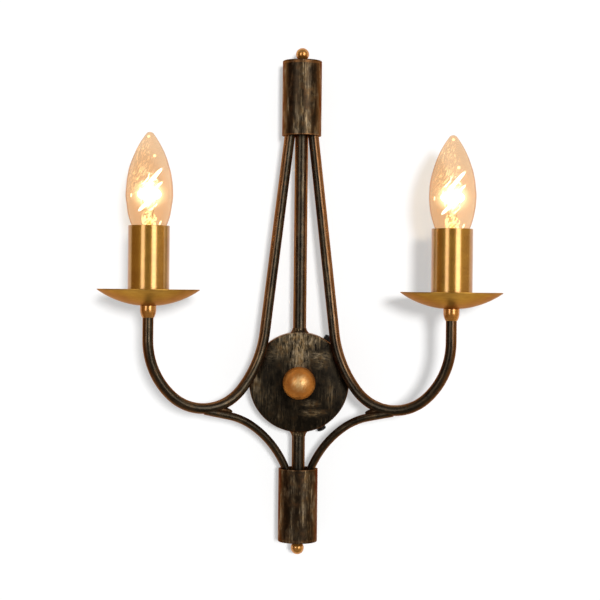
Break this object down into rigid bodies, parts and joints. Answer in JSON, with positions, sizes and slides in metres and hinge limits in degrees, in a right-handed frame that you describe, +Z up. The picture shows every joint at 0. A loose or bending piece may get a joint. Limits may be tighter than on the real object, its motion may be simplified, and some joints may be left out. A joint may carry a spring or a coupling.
{
  "type": "wall sconce",
  "caption": "Double arm candle wall sconce: bent tube arms and scroll rods on an upright stem with a round canopy, drip pans, candle covers and screw-in candle bulbs.",
  "frame": {"origin": "on the wall, behind the middle of the canopy, midway between the two wall slots", "axes": "+Z up along the stem, +X to the right seen from the front, +Y into the wall"},
  "size_m": [0.299, 0.1009, 0.3871],
  "materials": {
    "aged_iron": "dark iron patina, dry brushed with beige and gold",
    "copper_gold": "satin copper gold",
    "satin_gold": "satin antique gold",
    "clear_glass": "clear, gently rippled",
    "stem_glass": "clear lamp glass with wires",
    "nickel_brass": "nickel plated",
    "holder_plastic": "moulded thermoset, ivory",
    "terminal_plastic": "moulded, off-white",
    "zinc_steel": "zinc plated",
    "brass_hardware": "plain brass",
    "black_screw": "black oxide",
    "grommet_rubber": "soft black rubber",
    "lead_insulation": "sheathed lead"
  },
  "bodies": {
    "fixture": {"canopy_cover": "aged_iron", "wall_plate": "zinc_steel", "cable_grommet": "grommet_rubber", "terminal_block": "terminal_plastic", "terminal_screws": "zinc_steel", "earth_screw": "brass_hardware", "canopy_screw_1": "black_screw", "canopy_screw_2": "black_screw", "canopy_screw_3": "black_screw", "centre_knob": "copper_gold", "knob_stud": "zinc_steel", "knob_nut": "zinc_steel", "upper_stem": "aged_iron", "upper_flare": "aged_iron", "upper_stem_nut": "zinc_steel", "upper_sleeve": "aged_iron", "upper_hub": "aged_iron", "upper_cap": "aged_iron", "upper_finial": "copper_gold", "lower_stem": "aged_iron", "lower_flare": "aged_iron", "lower_stem_nut": "zinc_steel", "lower_sleeve": "aged_iron", "lower_hub": "aged_iron", "lower_cap": "aged_iron", "lower_finial": "copper_gold", "arm_tube_left": "aged_iron", "arm_tube_right": "aged_iron", "scroll_rod_left": "aged_iron", "scroll_rod_right": "aged_iron", "braze_left": "aged_iron", "braze_right": "aged_iron", "lead_left": "lead_insulation", "lead_right": "lead_insulation", "pan_bead_left": "copper_gold", "pan_bead_right": "copper_gold", "drip_pan_left": "satin_gold", "drip_pan_right": "satin_gold", "pan_nut_left": "zinc_steel", "pan_nut_right": "zinc_steel", "lampholder_left": "holder_plastic", "lampholder_right": "holder_plastic", "lampholder_shell_left": "nickel_brass", "lampholder_shell_right": "nickel_brass", "lampholder_contact_left": "nickel_brass", "lampholder_contact_right": "nickel_brass", "candle_cover_left": "satin_gold", "candle_cover_right": "satin_gold"},
    "bulb_left": {"bulb_cap_left": "nickel_brass", "bulb_glass_left": "clear_glass", "bulb_stem_left": "stem_glass"},
    "bulb_right": {"bulb_cap_right": "nickel_brass", "bulb_glass_right": "clear_glass", "bulb_stem_right": "stem_glass"}
  },
  "joints": [
    {"name": "bulb_left_turn", "type": "hinge", "parent": "fixture", "child": "bulb_left", "pos_m": [-0.11174, -0.06315, 0.0826], "axis": [0, 0, 1], "range_deg": [0, 1170]},
    {"name": "bulb_right_turn", "type": "hinge", "parent": "fixture", "child": "bulb_right", "pos_m": [0.11174, -0.06315, 0.0826], "axis": [0, 0, 1], "range_deg": [0, 1170]}
  ]
}
